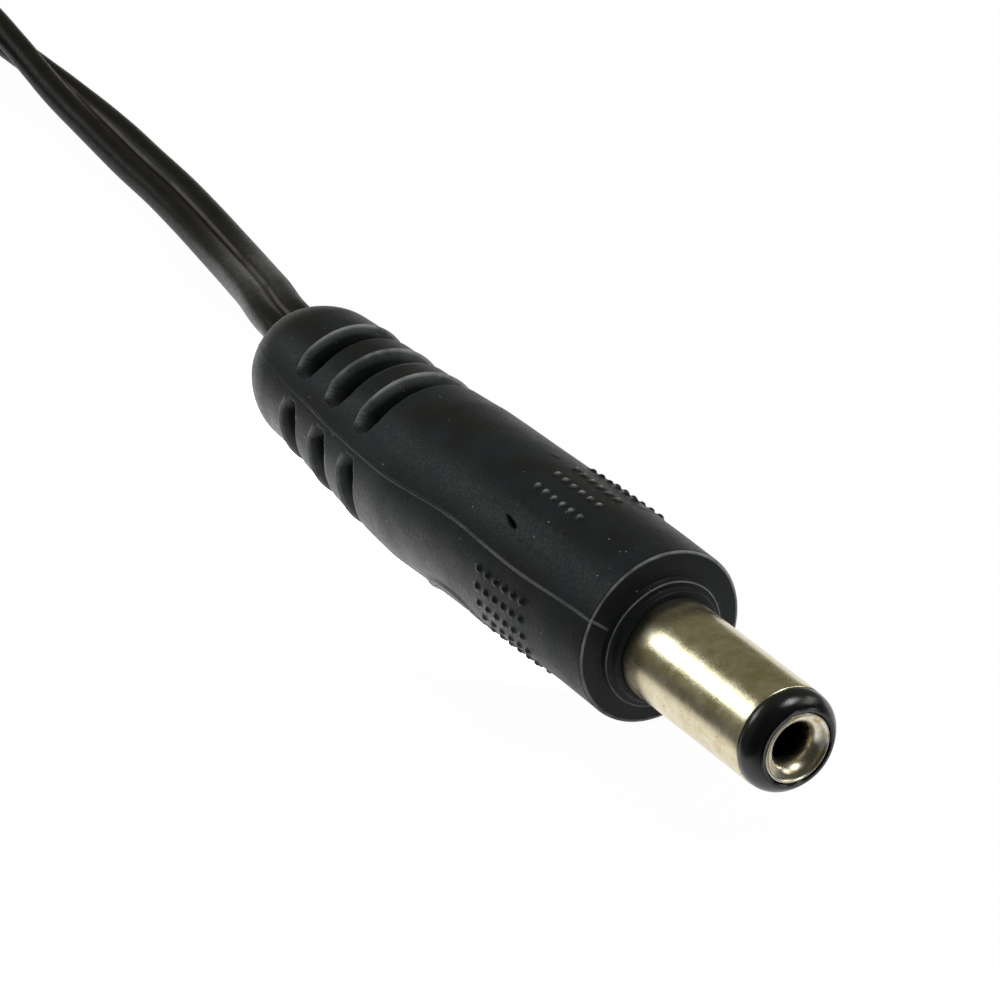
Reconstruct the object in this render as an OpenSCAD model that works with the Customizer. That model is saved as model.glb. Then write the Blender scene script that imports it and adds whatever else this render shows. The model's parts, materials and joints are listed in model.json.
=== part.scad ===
// Moulded DC barrel plug, 5.5 x 2.1 mm, on a flat twin lead with bare tinned ends.
// The plug's axis is X and points out of the barrel's tip. X = 0 is the front of the collar,
// where the bare barrel starts. The plug and its lead lie body_r + dot_h below the axis.

/* [Barrel] */
// Outside diameter of the barrel
barrel_d = 5.5; // [5.5:0.05:6.5]
// Wall of the barrel
barrel_wall = 0.45; // [0.3:0.05:0.5]
// Bare length of the barrel, from the collar to its end
barrel_len = 9.8; // [8:0.1:13]
// Bore of the centre contact
socket_d = 2.1; // [1.7:0.05:2.5]
// Wall of the centre contact
contact_wall = 0.3; // [0.2:0.05:0.35]
// Length of the insulating nose past the barrel
nose_len = 1.2; // [1:0.1:1.8]
// Diameter of the flared rim of the centre contact
rim_d = 3.6; // [3.4:0.05:4]
// Thickness of the flared rim's edge
rim_edge = 0.1; // [0.06:0.02:0.16]

/* [Overmould] */
// Diameter of the overmould
body_d = 9.4; // [9:0.1:12]
// Length of the overmould, from its front face to its rear end
body_len = 33.8; // [33.3:0.5:40.3]
// Length of the tapered rear part
taper_len = 15.1; // [13.3:0.2:15.9]
// Diameter at the small end of the taper
relief_d = 7.7; // [7.5:0.1:8.2]
// Diameter of the rear end
end_d = 6; // [5.6:0.1:6.6]
// Length of the domed rear end
dome_len = 2.6; // [2:0.1:2.8]
// Height of the collar on the front face
collar_h = 0.8; // [0.6:0.05:1]
// Diameter of the collar's lower step
collar_d = 6.9; // [6.8:0.05:7.4]
// Width of the bevel round the front face
bevel = 0.12; // [0.05:0.01:0.3]
// Angle that the mould's parting plane is rolled to
seam_roll = 27; // [0:1:60]
// Height of the flash along the seam
flash_h = 0.06; // [0.02:0.01:0.1]
// Width of the flash along the seam
flash_w = 0.14; // [0.08:0.02:0.3]

/* [Strain relief] */
// Number of slots in each half
slot_count = 3; // [1:1:3]
// Distance between two slots
slot_pitch = 3.15; // [2.4:0.05:3.3]
// Width of a slot along the plug
slot_w = 1.15; // [0.8:0.05:1.3]
// Depth of a slot at the small end of the taper
slot_depth = 1.2; // [0.8:0.05:1.4]
// Width of the two side ribs that join the rings
rib_w = 1.3; // [1.2:0.1:2.4]

/* [Grip] */
// Dots in a row along the plug
dots_long = 6; // [3:1:8]
// Distance between two dots in a row
dot_pitch = 0.78; // [0.7:0.02:0.9]
// Rows of dots on the upper half
upper_rows = 10; // [2:2:10]
// Angle between two rows of the upper half
upper_step = 16; // [12:1:16]
// Rows of dots on the lower half
lower_rows = 13; // [1:2:13]
// Angle between two rows of the lower half
lower_step = 12.5; // [11:0.5:12.5]
// Radius of the ball that forms a dot
dot_r = 0.28; // [0.24:0.02:0.34]
// Height of a dot
dot_h = 0.12; // [0.06:0.01:0.16]
// Outside diameter of the plain ring on the lower half
ring_d = 6.4; // [5:0.1:7]
// Width of the plain ring's rim
ring_w = 0.35; // [0.2:0.05:0.6]

/* [Lead] */
// Width of the flat twin lead
lead_w = 3.2; // [3.2:0.05:3.3]
// Diameter of the stranded copper core of each wire
core_d = 0.76; // [0.6:0.02:0.8]
// Length of a tinned end
tin_len = 5; // [3:0.5:6]
// Width of the tie round the hank
tie_w = 3.5; // [2:0.5:5]
// Thickness of the tie
tie_t = 0.3; // [0.2:0.05:0.3]

/* [Hank] */
// Length of a straight run of the hank
run_len = 36; // [34:1:36]
// Radius of the innermost fold
fold_r = 9.8; // [9.7:0.05:9.8]

/* [Hidden] */
$fn = 72;

// Clearance between pieces that slide into each other on assembly
slip = 0.02;
// Overrun of a cut past the face that it opens
over = 1;
// Overlap of two cuts that open into each other
bite = 0.1;

// Barrel, contact and insulation
barrel_r = barrel_d / 2;
bore_r = barrel_r - barrel_wall;
socket_r = socket_d / 2;
contact_r = socket_r + contact_wall;
bush_r = bore_r - slip;
tip_x = barrel_len + nose_len;
rim_r = rim_d / 2;
funnel_len = 1.1;
funnel_x = tip_x - funnel_len;
nose_r = barrel_r - 0.03;
nose_round = 0.95;
edge_break = 0.1;

// Groove that the overmould grips, then flange, neck and swaged end of the sleeve
flange_r = barrel_r + 0.3;
flange_front = -0.3;
flange_back = -1.3;
anchor_r = barrel_r - 0.25;
neck_r = barrel_r - 0.15;
swage_r = neck_r + 0.25;
swage_len = 0.2;

// Stack behind the bush: washer, positive lug and riveted head
socket_end = 0.3;
contact_back = -0.6;
bush_back = -3.6;
washer_t = 0.5;
lug_t = 0.4;
washer_back = bush_back - washer_t;
lug_back = washer_back - lug_t;
head_t = 0.35;
tail_r = 0.6;
head_r = 0.95;
neck_back = lug_back + 0.1;

// The two wires inside the plug
wire_r = lead_w / 4;
core_r = core_d / 2;
split_x = -20;
wire_front = -12.5;
positive_core_front = -6.2;
negative_core_front = -9.2;

// Lugs
disc_r = 1.5;
tab_low = -1.4;
tab_w = 1.4;
tab_y = wire_r - tab_w / 2;
tab_back = -9;
ring_proud = 0.05;
lug_ring_r = swage_r + slip + lug_t + ring_proud;
ring_back = neck_back + swage_len;
ring_front = ring_back + lug_t;
strip_y = -(swage_r + slip + lug_t);
strip_half = 0.9;
shelf_front = -9.4;
shelf_back = -10.8;
shelf_top = -core_r - slip;
shelf_inner_y = -0.3;
solder_r = 0.7;
solder_inset = 0.2;

// Inner mould
inner_wall = 0.28;
inner_r = lug_ring_r + inner_wall;
inner_taper_x = -16;
inner_end_r = 2.4;

// Overmould
body_r = body_d / 2;
face_x = -collar_h;
body_back = face_x - body_len;
taper_x = body_back + taper_len;
dome_x = body_back + dome_len;
relief_r = relief_d / 2;
end_r = end_d / 2;
collar_r = collar_d / 2;
collar_step_r = barrel_r + 0.35;
dome_steps = 8;
dome_power = 2;
flash_x = taper_x + 0.2;

// Slots, grip, ring and nick
slot_start = 2.65;
rib_lift = 0.2;
slot_first = dome_x + slot_start;
slot_floor = relief_r - slot_depth;
grip_x = face_x - 7.3;
grip_first = grip_x - dot_pitch * (dots_long - 1) / 2;
ring_x = face_x - 12.8;
nick_x = face_x - 8.6;
nick_angle = 22;
nick_len = 1.1;
nick_w = 0.14;
nick_depth = 0.2;
nick_turn = -12;

// Lead: each point is [x, y, z, lean], and lean turns the flat lead from lying flat to on edge
ROUTE = [
    [-20, 0, 0, 0], [-28, 0.5, 0.2, 0], [-36, 1, 0.4, 0], [-38, 1.3, 0.4, 0],
    [-40, 1.8, 0.1, 0], [-43, 2.9, -0.6, 0], [-46, 4, -1.5, 0], [-50, 5.45, -2.7, 0],
    [-54, 6.6, -3.5, 0], [-58, 7.45, -3.9, 0], [-62, 8, -4, 0], [-66, 8.3, -4, 0],
    [-70, 8.6, -3.9, 5], [-75, 8.8, -3.7, 22], [-80, 9, -3.4, 50], [-85, 9.1, -3.1, 76],
    [-89, 9.1, -2.9, 90], [-92, 9.1, -2.9, 90]
];
lead_z = -2.9;
// Lean of the lead where it stands on edge
on_edge = 90;

// Hank: its middle, its runs and its folds, from the outside in
turn_pitch = 2 * wire_r + 0.05;
outer_fold_r = fold_r + turn_pitch;
hank_x = -110;
hank_y = 9.1 - outer_fold_r;
hank_half = run_len / 2;
hank_low = lead_z - lead_w / 2;
hank_high = lead_z + lead_w / 2;

// End of the lead inside the hank, seen from its middle: on edge from the wall, then split
TAIL = [[-13, -9], [-10, -8.4], [-7.5, -7.4], [-5, -6.2]];
LOWER_WIRE = [[-5, -6.2, -3.7], [-2, -5.3, -3.7], [2, -4.8, -3.7], [6, -4.6, -3.8], [9, -4.6, -4]];
UPPER_WIRE = [[-5, -6.2, -2.1], [-2.5, -4.7, -2.2], [0, -2.6, -2.8], [3, -1, -3.7], [7, 0.2, -4]];
tie_low = hank_low - tie_t;
tie_high = hank_high + tie_t;
twist_r = 0.75;
twist_len = 9;
twist_y = 2;
twist_sink = 0.15;

// Sweeping a section along a list of points
function unit(v) = v / norm(v);
function place(p) = [p[0], p[1], p[2]];
function heading(path, i) =
    i == 0 ? unit(path[1] - path[0])
    : i == len(path) - 1 ? unit(path[i] - path[i - 1])
    : unit(unit(path[i + 1] - path[i]) + unit(path[i] - path[i - 1]));
// A ring of the section at one point: across is level when lean is 0 and upright at 90
function ring_at(point, along, lean, section) =
    let (
        level = unit(cross([0, 0, 1], along)),
        rise = cross(along, level),
        across = cos(lean) * level + sin(lean) * rise,
        thick = cos(lean) * rise - sin(lean) * level
    )
    [for (s = section) point + s[0] * across + s[1] * thick];
// Moves a ring's points along a direction onto a plane square to an axis
function onto_plane(ring, along, axis, value) =
    [for (p = ring) p + along * (value - p[axis]) / along[axis]];
// Section of the twin lead, of 8 points on the outer sides of its two wires
function twin_section() = [
    for (side = [1, -1], a = [-108 : 72 : 108])
        [side * (wire_r + wire_r * cos(a)), side * wire_r * sin(a)]
];
// Section of one wire, of 8 points
function wire_section(sides = 8) = [
    for (i = [0 : sides - 1]) wire_r * [cos(i * 360 / sides), sin(i * 360 / sides)]
];

module tube(rings) {
    n = len(rings[0]);
    last = len(rings) - 1;
    polyhedron(
        points = [for (r = rings) each r],
        faces = concat(
            [[for (i = [0 : n - 1]) n - 1 - i]],
            [for (k = [0 : last - 1], i = [0 : n - 1])
                let (j = (i + 1) % n, below = k * n, above = below + n)
                each [[below + i, below + j, above + j], [below + i, above + j, above + i]]],
            [[for (i = [0 : n - 1]) last * n + i]]
        ),
        convexity = 4
    );
}

// Turns an outline of [radius, x] points about the plug's axis
module turned(outline) {
    rotate([0, 90, 0])
        rotate_extrude()
            polygon(outline);
}

// A rod along X between two places
module rod(r, from_x, to_x, y = 0, z = 0) {
    translate([from_x, y, z])
        rotate([0, 90, 0])
            cylinder(r = r, h = to_x - from_x);
}

// Places what is moulded in the two halves of the tool
module mould_frame() {
    rotate([-seam_roll, 0, 0])
        children();
}

module outer_sleeve() {
    color("#c9c2a6")
        turned([
            [bore_r, neck_back], [swage_r, neck_back], [swage_r, ring_back], [neck_r, ring_back],
            [neck_r, flange_back], [flange_r, flange_back], [flange_r, flange_front],
            [anchor_r, flange_front], [anchor_r, 0], [barrel_r, 0], [barrel_r, barrel_len - edge_break],
            [barrel_r - edge_break, barrel_len], [bore_r, barrel_len]
        ]);
}

module insulating_bush() {
    nose_arc = [for (a = [0 : 10 : 90])
        [nose_r - nose_round + nose_round * cos(a), tip_x - nose_round + nose_round * sin(a)]];
    color("#101214")
        turned(concat(
            [[tail_r + slip, bush_back], [bush_r, bush_back], [bush_r, barrel_len], [nose_r, barrel_len]],
            nose_arc,
            [
                [rim_r + rim_edge + slip, tip_x],
                [rim_r + rim_edge + slip, tip_x - rim_edge],
                [contact_r + slip, funnel_x - rim_edge],
                [contact_r + slip, contact_back],
                [tail_r + slip, contact_back]
            ]
        ));
}

module centre_contact() {
    color("#d8cfae")
        turned([
            [0, lug_back - head_t], [head_r, lug_back - head_t], [head_r, lug_back],
            [tail_r, lug_back], [tail_r, contact_back], [contact_r, contact_back],
            [contact_r, funnel_x - rim_edge], [rim_r + rim_edge, tip_x - rim_edge],
            [rim_r + rim_edge, tip_x - slip], [rim_r, tip_x - slip],
            [socket_r, funnel_x], [socket_r, socket_end], [0, socket_end]
        ]);
}

module rear_washer() {
    color("#8a5a33")
        turned([
            [tail_r + slip, washer_back], [bush_r, washer_back],
            [bush_r, bush_back], [tail_r + slip, bush_back]
        ]);
}

module positive_lug() {
    color("#c8b98a")
        difference() {
            union() {
                rod(disc_r, lug_back, washer_back);
                translate([tab_back, tab_y, tab_low])
                    cube([washer_back - tab_back, tab_w, lug_t]);
            }
            rod(tail_r + slip, lug_back - over, washer_back + over);
        }
}

// Strip and shelf of the negative lug, which carry its core
module negative_tab() {
    translate([shelf_back, strip_y, -strip_half])
        cube([ring_front - shelf_back, lug_t, 2 * strip_half]);
    translate([shelf_back, strip_y, shelf_top - lug_t])
        cube([shelf_front - shelf_back, shelf_inner_y - strip_y, lug_t]);
}

module negative_lug() {
    color("#c8b98a")
        difference() {
            union() {
                rod(lug_ring_r, ring_back, ring_front);
                negative_tab();
            }
            rod(neck_r + slip, ring_back - over, ring_front + over);
        }
}

module core(front, side) {
    rod(core_r, wire_front, front, side * wire_r);
}

module positive_core() {
    color("#c98a52")
        core(positive_core_front, 1);
}

module negative_core() {
    color("#c98a52")
        core(negative_core_front, -1);
}

// Solder on top of a lug, round the lower side of a core
module solder(back, front, side, seat_z) {
    difference() {
        rod(solder_r, back, front, side * wire_r, seat_z / 2);
        core(front + over, side);
        translate([back - over, -body_r, seat_z - body_r])
            cube([front - back + 2 * over, body_d, body_r]);
    }
}

module positive_solder() {
    color("#b9bcc0")
        solder(tab_back + solder_inset, positive_core_front - solder_inset, 1, tab_low + lug_t);
}

module negative_solder() {
    color("#b9bcc0")
        solder(shelf_back + solder_inset, shelf_front - solder_inset, -1, shelf_top);
}

module positive_leg() {
    color("#3a2d28")
        rod(wire_r, split_x, wire_front, wire_r);
}

module negative_leg() {
    color("#26211f")
        rod(wire_r, split_x, wire_front, -wire_r);
}

module inner_mould_form() {
    turned([
        [0, split_x], [inner_end_r, split_x], [inner_r, inner_taper_x],
        [inner_r, flange_back], [0, flange_back]
    ]);
}

// Room in the inner mould round each soldered joint
module joint_pocket(back, front, side, low) {
    translate([back, side * wire_r - solder_r - slip, low])
        cube([front - back, 2 * (solder_r + slip), solder_r + slip - low]);
}

module inner_mould() {
    color("#d9d6cc")
        difference() {
            inner_mould_form();
            rod(neck_r, ring_front - bite, flange_back + over);
            rod(lug_ring_r, neck_back, ring_front);
            rod(disc_r, lug_back - head_t, neck_back + bite);
            negative_tab();
            joint_pocket(tab_back, neck_back, 1, tab_low);
            joint_pocket(shelf_back, shelf_front, -1, shelf_top - lug_t);
            rod(core_r, wire_front - bite, tab_back + bite, wire_r);
            rod(core_r, wire_front - bite, shelf_back + bite, -wire_r);
            rod(core_r, shelf_front - bite, negative_core_front, -wire_r);
            rod(wire_r + slip, split_x - over, wire_front, wire_r);
            rod(wire_r + slip, split_x - over, wire_front, -wire_r);
        }
}

// Outline of the domed rear end, from its small end forwards
function dome_outline() = [
    for (i = [0 : dome_steps])
        let (u = 1 - i / dome_steps)
        [end_r + (relief_r - end_r) * (1 - pow(u, dome_power)), dome_x - dome_len * u]
];

module overmould_form() {
    turned(concat(
        [[0, body_back]],
        dome_outline(),
        [
            [body_r, taper_x], [body_r, face_x - bevel], [body_r - bevel, face_x],
            [collar_r, face_x], [collar_r, face_x / 2], [collar_step_r, face_x / 2],
            [collar_step_r, 0], [0, 0]
        ]
    ));
}

// Slots of both halves, which leave a rib on each side
module slots() {
    for (i = [0 : slot_count - 1])
        translate([slot_first + i * slot_pitch - slot_w / 2, 0, 0])
            difference() {
                rod(body_r + over, 0, slot_w);
                rod(slot_floor, -over, slot_w + over);
                translate([-over, -body_r - 2 * over, rib_lift - rib_w / 2])
                    cube([slot_w + 2 * over, 2 * body_r + 4 * over, rib_w]);
            }
}

module seam_flash() {
    translate([flash_x, -body_r - flash_h, -flash_w / 2])
        cube([face_x - bevel - flash_x, 2 * (body_r + flash_h), flash_w]);
}

module grip_rows(rows, step, middle) {
    for (row = [0 : rows - 1])
        rotate([middle + (row - (rows - 1) / 2) * step, 0, 0])
            for (i = [0 : dots_long - 1])
                translate([grip_first + i * dot_pitch, 0, body_r + dot_h - dot_r])
                    sphere(r = dot_r, $fn = 24);
}

// Plain raised ring on the lower half, bare inside
module plain_ring() {
    intersection() {
        rod(body_r + dot_h / 2, ring_x - ring_d, ring_x + ring_d);
        translate([ring_x, 0, -body_r - over])
            difference() {
                cylinder(d = ring_d, h = body_r + over);
                translate([0, 0, -over])
                    cylinder(d = ring_d - 2 * ring_w, h = body_r + 3 * over);
            }
    }
}

module nick() {
    rotate([90 - nick_angle, 0, 0])
        translate([nick_x, 0, body_r])
            rotate([0, 0, nick_turn])
                cube([nick_len, nick_w, 2 * nick_depth], center = true);
}

// Straight passage of the lead, from the inner mould out of the rear end
module lead_passage() {
    start = place(ROUTE[0]);
    end = place(ROUTE[2]);
    along = end - start;
    r = wire_r + slip;
    translate(start)
        rotate([0, 0, atan2(along[1], along[0])])
            rotate([0, acos(along[2] / norm(along)), 0])
                translate([0, 0, -over])
                    linear_extrude(norm(along) + 3 * over)
                        union() {
                            translate([0, wire_r])
                                circle(r = r);
                            translate([0, -wire_r])
                                circle(r = r);
                            square([2 * r, 2 * wire_r], center = true);
                        }
}

module overmould() {
    color("#24282b")
        difference() {
            union() {
                overmould_form();
                mould_frame() {
                    seam_flash();
                    grip_rows(upper_rows, upper_step, 0);
                    grip_rows(lower_rows, lower_step, 180);
                    plain_ring();
                }
            }
            mould_frame() {
                slots();
                nick();
            }
            rod(anchor_r, flange_back, over);
            rod(flange_r, flange_back, flange_front);
            inner_mould_form();
            lead_passage();
        }
}

module cord() {
    path = [for (p = ROUTE) place(p)];
    section = twin_section();
    color("#221c1b")
        tube([for (i = [0 : len(ROUTE) - 1])
            let (
                along = heading(path, i),
                ring = ring_at(path[i], along, ROUTE[i][3], section)
            )
            i == 0 ? onto_plane(ring, along, 0, split_x) : ring
        ]);
}

// Turns of the hank, as the solid that they fill
module cord_hank() {
    middle_r = (fold_r + outer_fold_r) / 2;
    drop = middle_r - outer_fold_r;
    color("#221c1b")
        translate([hank_x, hank_y, hank_low])
            linear_extrude(lead_w)
                difference() {
                    union() {
                        translate([-hank_half, 0])
                            circle(r = outer_fold_r + wire_r);
                        translate([hank_half, drop])
                            circle(r = middle_r + wire_r);
                        square([run_len, 2 * (outer_fold_r + wire_r)], center = true);
                    }
                    translate([-hank_half, 0])
                        circle(r = fold_r - wire_r);
                    translate([hank_half, drop])
                        circle(r = middle_r - wire_r);
                    square([run_len, 2 * (fold_r - wire_r)], center = true);
                }
}

module cord_tail() {
    wall_y = hank_y - fold_r + wire_r;
    path = [for (p = TAIL) [hank_x + p[0], hank_y + p[1], lead_z]];
    section = twin_section();
    color("#221c1b")
        tube([for (i = [0 : len(TAIL) - 1])
            let (
                along = heading(path, i),
                ring = ring_at(path[i], along, on_edge, section)
            )
            i == 0 ? onto_plane(ring, along, 1, wall_y) : ring
        ]);
}

// Split wire, whose first ring lies on the end face of the twin lead
module tail_wire(points) {
    path = [for (p = points) [hank_x + p[0], hank_y + p[1], p[2]]];
    last = len(TAIL) - 1;
    step = TAIL[last] - TAIL[last - 1];
    end_face = unit([step[0], step[1], 0]);
    tube([for (i = [0 : len(path) - 1])
        ring_at(path[i], i == 0 ? end_face : heading(path, i), 0, wire_section())
    ]);
}

// Tinned core that goes on from the last two points of a split wire
module tinned_end(points) {
    last = len(points) - 1;
    step = points[last] - points[last - 1];
    translate([hank_x + points[last][0], hank_y + points[last][1], points[last][2]])
        rotate([0, 0, atan2(step[1], step[0])])
            rotate([0, acos(step[2] / norm(step)), 0])
                cylinder(r = core_r, h = tin_len);
}

module tail_leg_negative() {
    color("#221c1b")
        tail_wire(LOWER_WIRE);
}

module tail_leg_positive() {
    color("#221c1b")
        tail_wire(UPPER_WIRE);
}

module tinned_end_negative() {
    color("#c3c5c8")
        tinned_end(LOWER_WIRE);
}

module tinned_end_positive() {
    color("#c3c5c8")
        tinned_end(UPPER_WIRE);
}

// Tie round both runs of the hank, with its two ends twisted together on top
module hank_tie() {
    half = outer_fold_r + wire_r;
    color("#1c1d20") {
        difference() {
            translate([hank_x - tie_w / 2, hank_y - half - tie_t, tie_low])
                cube([tie_w, 2 * (half + tie_t), tie_high - tie_low]);
            translate([hank_x - tie_w, hank_y - half, hank_low])
                cube([2 * tie_w, 2 * half, hank_high - hank_low]);
        }
        translate([hank_x, hank_y + twist_y, tie_high + twist_r - twist_sink])
            rotate([-90, 0, 0])
                cylinder(r = twist_r, h = twist_len);
    }
}

overmould();
inner_mould();
outer_sleeve();
insulating_bush();
centre_contact();
rear_washer();
negative_lug();
positive_lug();
negative_solder();
positive_solder();
negative_core();
positive_core();
negative_leg();
positive_leg();
cord();
cord_hank();
cord_tail();
hank_tie();
tail_leg_negative();
tail_leg_positive();
tinned_end_negative();
tinned_end_positive();
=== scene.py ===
"""Looks of a moulded DC barrel plug on a flat twin lead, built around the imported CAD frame.

The plug's axis is X and points out of the barrel's tip. Sizes are in metres, written as millimetres
times MM. An angle round the plug is counted from its parting seam on the near side, through the
upper half of the mould.
"""
import json
import math

import bpy
import numpy as np
from mathutils import Matrix, Vector


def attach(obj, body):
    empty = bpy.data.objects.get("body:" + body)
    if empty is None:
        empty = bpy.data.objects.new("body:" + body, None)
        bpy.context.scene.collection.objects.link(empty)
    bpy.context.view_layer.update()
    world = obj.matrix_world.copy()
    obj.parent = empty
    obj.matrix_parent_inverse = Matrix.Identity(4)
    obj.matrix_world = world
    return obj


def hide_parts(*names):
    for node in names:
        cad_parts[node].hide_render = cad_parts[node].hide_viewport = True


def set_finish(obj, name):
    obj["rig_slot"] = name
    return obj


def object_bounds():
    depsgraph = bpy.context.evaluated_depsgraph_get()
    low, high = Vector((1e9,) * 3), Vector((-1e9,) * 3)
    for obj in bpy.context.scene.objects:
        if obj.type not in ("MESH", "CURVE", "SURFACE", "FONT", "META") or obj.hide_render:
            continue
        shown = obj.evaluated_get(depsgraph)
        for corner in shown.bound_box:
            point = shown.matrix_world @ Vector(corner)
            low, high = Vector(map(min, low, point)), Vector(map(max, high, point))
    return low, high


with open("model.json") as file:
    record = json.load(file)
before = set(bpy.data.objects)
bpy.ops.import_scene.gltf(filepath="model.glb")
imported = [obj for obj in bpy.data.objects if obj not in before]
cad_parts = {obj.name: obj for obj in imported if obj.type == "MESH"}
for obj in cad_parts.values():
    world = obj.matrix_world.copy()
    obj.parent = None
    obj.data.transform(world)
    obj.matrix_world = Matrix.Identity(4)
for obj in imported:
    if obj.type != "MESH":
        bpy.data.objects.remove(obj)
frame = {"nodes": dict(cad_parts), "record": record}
cad_low, cad_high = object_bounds()

MM = 0.001
BODY = "root"

# ---------------------------------------------------------------- camera

CAMERA_PLACE = Vector((224.8, -155.5, 166.7)) * MM
CAMERA_AZIMUTH = math.radians(57.06)
CAMERA_ELEVATION = math.radians(30.09)
CAMERA_LENS = 235.2
CAMERA_SENSOR = 36.0


def add_camera():
    """A camera without roll, that looks along its azimuth and down by its elevation."""
    data = bpy.data.cameras.new("camera")
    data.lens = CAMERA_LENS
    data.sensor_width = CAMERA_SENSOR
    data.clip_start = 0.01
    data.clip_end = 20
    camera = bpy.data.objects.new("camera", data)
    sin_a, cos_a = math.sin(CAMERA_AZIMUTH), math.cos(CAMERA_AZIMUTH)
    sin_e, cos_e = math.sin(CAMERA_ELEVATION), math.cos(CAMERA_ELEVATION)
    back = Vector((sin_a * cos_e, -cos_a * cos_e, sin_e))
    right = Vector((cos_a, sin_a, 0))
    up = back.cross(right)
    turned = Matrix((right, up, back)).transposed().to_4x4()
    camera.matrix_world = Matrix.Translation(CAMERA_PLACE) @ turned
    bpy.context.scene.collection.objects.link(camera)
    bpy.context.scene.camera = camera


add_camera()

# ---------------------------------------------------------------- shared mesh helpers


def add_mesh(name, points, faces, material_slot, smooth=True):
    """A mesh object from points and faces, that rides on the one body."""
    mesh = bpy.data.meshes.new(name)
    mesh.from_pydata([tuple(p) for p in points], [], faces)
    mesh.polygons.foreach_set("use_smooth", [smooth] * len(mesh.polygons))
    mesh.update()
    piece = bpy.data.objects.new(name, mesh)
    bpy.context.scene.collection.objects.link(piece)
    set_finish(piece, material_slot)
    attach(piece, BODY)
    return piece


def grid_faces(rings, around, closed_rings=False, first=0):
    """Quads between rings of points, where each ring is closed, and the last ring may join the first."""
    faces = []
    for k in range(rings if closed_rings else rings - 1):
        low = first + k * around
        high = first + (k + 1) % rings * around
        for i in range(around):
            j = (i + 1) % around
            faces.append((low + i, high + i, high + j, low + j))
    return faces


def set_attribute(piece, name, values):
    """A number on each point of a piece, that its material reads."""
    attribute = piece.data.attributes.new(name, "FLOAT", "POINT")
    attribute.data.foreach_set("value", np.asarray(values, np.float32).ravel())


def smoothstep(low, high, x):
    """Smooth step of x from 0 at low to 1 at high, where low may be the greater."""
    t = np.clip((np.asarray(x, float) - low) / (high - low), 0, 1)
    return t * t * (3 - 2 * t)


def lathe(name, outline, material_slot, around=256):
    """Turns a closed outline of (radius, x) points about the plug's axis."""
    turn = np.linspace(0, 2 * math.pi, around, endpoint=False)
    points = []
    for radius, x in outline:
        for a in turn:
            points.append((x, -radius * math.cos(a), radius * math.sin(a)))
    return add_mesh(name, points, grid_faces(len(outline), around, closed_rings=True), material_slot)


def arc(centre_r, centre_x, radius, start, end, steps):
    """Outline points on an arc. The angle is 0 where the arc points outwards, and 90 towards +X."""
    return [
        (centre_r + radius * math.cos(a), centre_x + radius * math.sin(a))
        for a in np.radians(np.linspace(start, end, steps + 1))
    ]


# ---------------------------------------------------------------- the lead's route

LEAD_WIDTH = 3.2 * MM
WIRE_R = LEAD_WIDTH / 4
WEB_HALF = 0.34 * MM
RING_STEP = 0.55 * MM

# Points of the lead from inside the plug to the hank: x, y, z in millimetres and lean in degrees
ROUTE = [
    (-20, 0, 0, 0), (-28, 0.5, 0.2, 0), (-36, 1, 0.4, 0), (-38, 1.3, 0.4, 0),
    (-40, 1.8, 0.1, 0), (-43, 2.9, -0.6, 0), (-46, 4, -1.5, 0), (-50, 5.45, -2.7, 0),
    (-54, 6.6, -3.5, 0), (-58, 7.45, -3.9, 0), (-62, 8, -4, 0), (-66, 8.3, -4, 0),
    (-70, 8.6, -3.9, 5), (-75, 8.8, -3.7, 22), (-80, 9, -3.4, 50), (-85, 9.1, -3.1, 76),
    (-89, 9.1, -2.9, 90), (-92, 9.1, -2.9, 90),
]

# Hank: its middle, half of a straight run, and the radii of its folds from the outside in
LEAD_Z = -2.9
HANK_HALF = 18.0
FOLD_R = 9.8
TURN_PITCH = 1.65
OUTER_FOLD_R = FOLD_R + TURN_PITCH
MIDDLE_FOLD_R = (FOLD_R + OUTER_FOLD_R) / 2
HANK_X = -110.0
HANK_Y = 9.1 - OUTER_FOLD_R

# End of the lead inside the hank, and its two split wires, seen from the hank's middle
TAIL = [(-13, -9), (-10, -8.4), (-7.5, -7.4), (-5, -6.2)]
LOWER_WIRE = [(-5, -6.2, -3.7), (-2, -5.3, -3.7), (2, -4.8, -3.7), (6, -4.6, -3.8), (9, -4.6, -4)]
UPPER_WIRE = [(-5, -6.2, -2.1), (-2.5, -4.7, -2.2), (0, -2.6, -2.8), (3, -1, -3.7), (7, 0.2, -4)]
TIN_LENGTH = 5.0
CORE_R = 0.38 * MM


def hank_turns():
    """Points of the hank's three runs and three folds, in millimetres, on edge."""
    points = []
    folds = [
        (-HANK_HALF, 0.0, OUTER_FOLD_R, 90),
        (HANK_HALF, MIDDLE_FOLD_R - OUTER_FOLD_R, MIDDLE_FOLD_R, -90),
        (-HANK_HALF, 0.0, FOLD_R, 90),
    ]
    run_steps, fold_steps = 24, 30
    start_x, start_y = HANK_HALF, OUTER_FOLD_R
    for centre_x, centre_y, radius, start in folds:
        for i in range(1, run_steps):
            x = start_x + (centre_x - start_x) * i / run_steps
            points.append((x, start_y))
        for i in range(fold_steps + 1):
            a = math.radians(start + 180 * i / fold_steps)
            points.append((centre_x + radius * math.cos(a), centre_y + radius * math.sin(a)))
        start_x, start_y = points[-1]
    return [(HANK_X + x, HANK_Y + y, LEAD_Z, 90) for x, y in points]


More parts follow.
